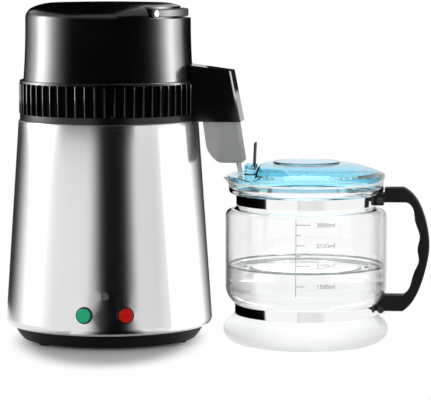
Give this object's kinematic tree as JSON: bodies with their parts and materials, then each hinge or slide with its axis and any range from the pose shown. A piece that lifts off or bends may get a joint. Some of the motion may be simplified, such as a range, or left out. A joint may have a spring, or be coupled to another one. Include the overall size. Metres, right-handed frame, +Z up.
{
  "type": "countertop water distiller",
  "caption": "Countertop water distiller: tapered steel boiler, lift-off fan head with folding bail, spout with filter basket, and a glass carafe with a flap lid.",
  "frame": {"origin": "under the middle of the whole object, on the surface it stands on", "axes": "+Z up, +X from the boiler to the carafe, -Y the front with the buttons"},
  "size_m": [0.4561, 0.2284, 0.3646],
  "materials": {
    "shell_steel": "brushed",
    "chamber_steel": "satin",
    "band_steel": "polished",
    "fastener_steel": "plated",
    "head_black": "gloss",
    "ring_black": "satin",
    "base_black": "satin",
    "bail_black": "satin",
    "foot_rubber": "matte",
    "handle_black": "matte",
    "trim_black": "satin",
    "button_green": "satin",
    "button_red": "satin",
    "lens_clear": "frosted",
    "contact_brass": "plated",
    "heater_aluminium": "cast",
    "thermostat_brown": "matte",
    "fin_aluminium": "satin",
    "motor_iron": "laminated",
    "rotor_grey": "satin",
    "basket_grey": "satin",
    "nozzle_grey": "satin",
    "sachet_white": "non-woven",
    "gasket_silicone": "matte",
    "carafe_glass": "clear",
    "lid_blue": "translucent",
    "flap_navy": "translucent"
  },
  "bodies": {
    "root": {"base_tray": "base_black", "rubber_feet": "foot_rubber", "outer_shell": "shell_steel", "boiling_chamber": "chamber_steel", "heater_plate": "heater_aluminium", "heating_element": "heater_aluminium", "boil_dry_thermostat": "thermostat_brown", "thermal_fuse": "heater_aluminium", "chamber_studs": "chamber_steel", "stud_nuts": "fastener_steel", "green_bezel": "trim_black", "red_bezel": "trim_black", "green_switch": "trim_black", "red_switch": "trim_black", "bezel_nuts": "trim_black", "indicator_lens": "lens_clear", "indicator_holder": "trim_black", "power_inlet": "trim_black", "inlet_pins": "contact_brass", "fan_outlet": "trim_black"},
    "green_button": {"green_button": "button_green"},
    "red_button": {"red_button": "button_red"},
    "head": {"head_gasket": "gasket_silicone", "condenser_lid": "chamber_steel", "vent_ring": "ring_black", "head_cover": "head_black", "handle_pins": "fastener_steel", "head_inlet": "trim_black", "head_inlet_pins": "contact_brass", "fan_motor": "motor_iron", "motor_bracket": "fastener_steel", "bracket_screws": "fastener_steel", "condenser_coil": "chamber_steel", "outlet_tube": "chamber_steel", "steam_tube": "chamber_steel", "cooling_fins": "fin_aluminium", "spout_housing": "head_black"},
    "bail": {"carry_handle": "bail_black"},
    "fan": {"fan_rotor": "rotor_grey", "motor_shaft": "fastener_steel"},
    "basket": {"filter_basket": "basket_grey", "carbon_sachet": "sachet_white", "drip_nozzle": "nozzle_grey"},
    "carafe": {"carafe_glass": "carafe_glass", "upper_band": "band_steel", "lower_band": "band_steel", "carafe_handle": "handle_black", "band_screws": "fastener_steel"},
    "lid": {"carafe_lid": "lid_blue", "flap_bracket": "lid_blue", "lid_seal": "gasket_silicone", "flap_pin": "fastener_steel"},
    "flap": {"inlet_flap": "flap_navy"}
  },
  "joints": [
    {"name": "green_press", "type": "slide", "parent": "root", "child": "green_button", "axis": [0.1942, 0.9786, -0.0679], "range_m": [0, 0.0018], "stiffness_N_per_m": 500, "springref_m": -0.001},
    {"name": "red_press", "type": "slide", "parent": "root", "child": "red_button", "axis": [-0.1942, 0.9786, -0.0679], "range_m": [0, 0.0018], "stiffness_N_per_m": 500, "springref_m": -0.001},
    {"name": "head_lift", "type": "slide", "parent": "root", "child": "head", "axis": [0, 0, 1], "range_m": [0, 0.12]},
    {"name": "handle_fold", "type": "hinge", "parent": "head", "child": "bail", "pos_m": [-0.11668, 0.00016, 0.3533], "axis": [0.6157, -0.788, 0], "range_deg": [0, 90]},
    {"name": "fan_spin", "type": "hinge", "parent": "head", "child": "fan", "pos_m": [-0.11668, 0.00016, 0.2895], "axis": [0, 0, 1], "continuous": true},
    {"name": "basket_drop", "type": "slide", "parent": "head", "child": "basket", "axis": [0, 0, -1], "range_m": [0, 0.009]},
    {"name": "carafe_slide", "type": "slide", "parent": "root", "child": "carafe", "axis": [0.9925, -0.1219, 0], "range_m": [0, 0.15]},
    {"name": "lid_lift", "type": "slide", "parent": "carafe", "child": "lid", "axis": [0, 0, 1], "range_m": [0, 0.01]},
    {"name": "flap_close", "type": "hinge", "parent": "lid", "child": "flap", "pos_m": [0.04044, -0.01913, 0.1883], "axis": [-0.1219, -0.9925, 0], "range_deg": [0, 24]}
  ]
}
